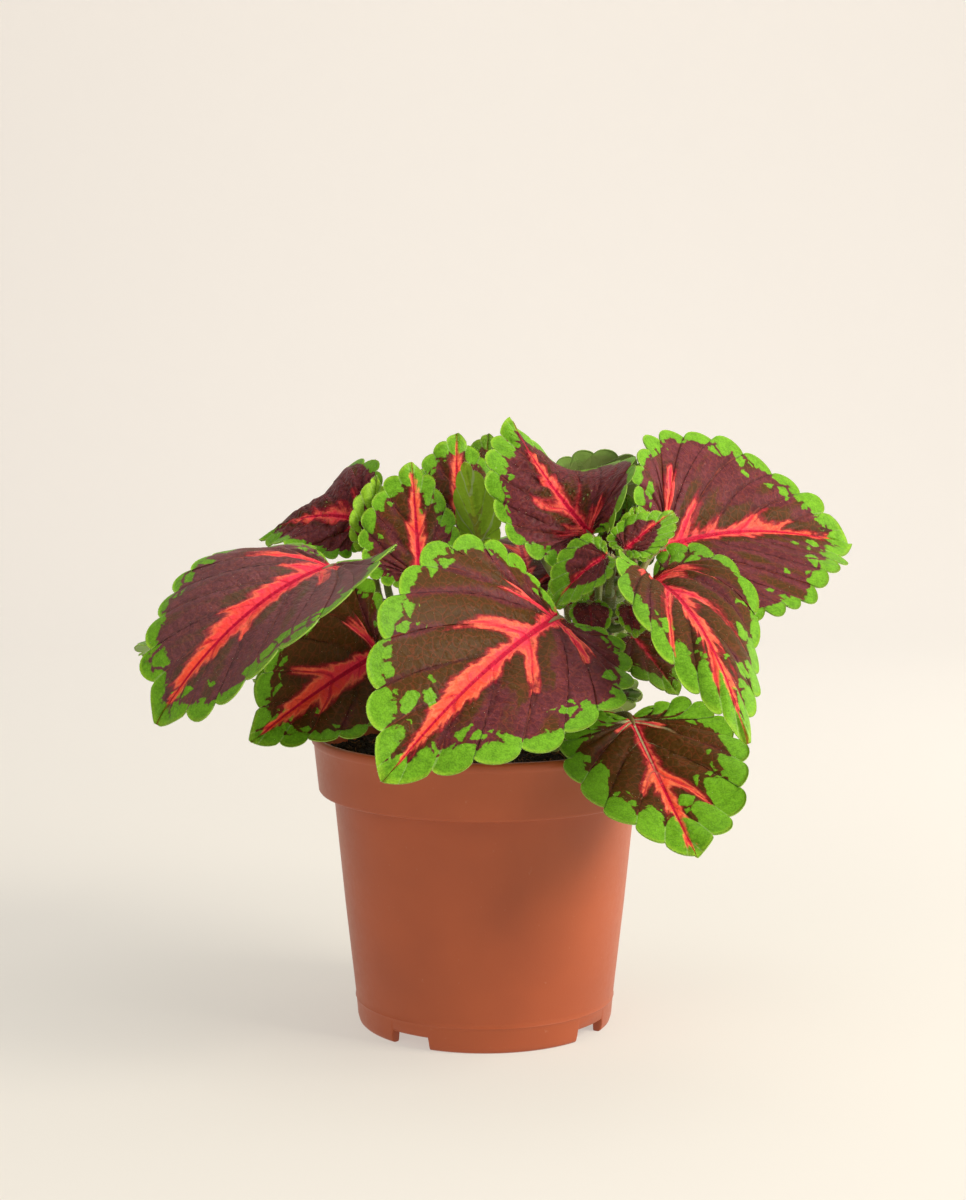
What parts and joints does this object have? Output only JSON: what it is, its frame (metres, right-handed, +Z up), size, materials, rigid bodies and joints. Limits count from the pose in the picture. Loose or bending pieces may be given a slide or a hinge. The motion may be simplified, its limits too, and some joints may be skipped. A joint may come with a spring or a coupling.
{
  "type": "potted coleus",
  "caption": "Potted coleus: leafy houseplant with broad scalloped leaves on square stems, rooted in soil in a round tapered nursery pot.",
  "frame": {"origin": "middle of the object's box on the ground, which is also the pot's axis to within 2 mm", "axes": "+Z up, +X to the right as seen from the front, where the plant's longest span lies, -Y towards the picture's camera"},
  "size_m": [0.2631, 0.209, 0.2091],
  "materials": {
    "pot_plastic": "satin terracotta-coloured moulded polypropylene",
    "potting_soil": "moist dark peat with fibres and crumbs",
    "stem_tissue": "green square stem with short hairs",
    "leaf_tissue": "soft downy leaf: maroon field, coral flame along the veins, green scalloped margin"
  },
  "bodies": {
    "root": {"pot": "pot_plastic", "soil": "potting_soil", "stem_main": "stem_tissue", "stem_left": "stem_tissue", "stem_back": "stem_tissue", "leaf_front_broad": "leaf_tissue", "leaf_left_long": "leaf_tissue", "leaf_left_low": "leaf_tissue", "leaf_left_crumpled": "leaf_tissue", "leaf_left_curled": "leaf_tissue", "leaf_upright_left": "leaf_tissue", "leaf_upright_back": "leaf_tissue", "leaf_pale_folded": "leaf_tissue", "leaf_top_dark": "leaf_tissue", "leaf_top_centre": "leaf_tissue", "leaf_top_pale": "leaf_tissue", "leaf_right_back": "leaf_tissue", "leaf_right_front": "leaf_tissue", "leaf_right_low": "leaf_tissue", "leaf_right_shaded": "leaf_tissue", "leaf_inner_right": "leaf_tissue", "leaf_inner_left": "leaf_tissue", "tip_leaf_right": "leaf_tissue", "tip_leaf_left": "leaf_tissue", "tip_leaf_front": "leaf_tissue", "leaf_back_far_left": "leaf_tissue", "leaf_back_left": "leaf_tissue", "leaf_back_centre": "leaf_tissue", "leaf_back_right": "leaf_tissue", "leaf_back_low_right": "leaf_tissue", "leaf_back_low_left": "leaf_tissue", "leaf_left_hidden": "leaf_tissue"}
  },
  "joints": []
}
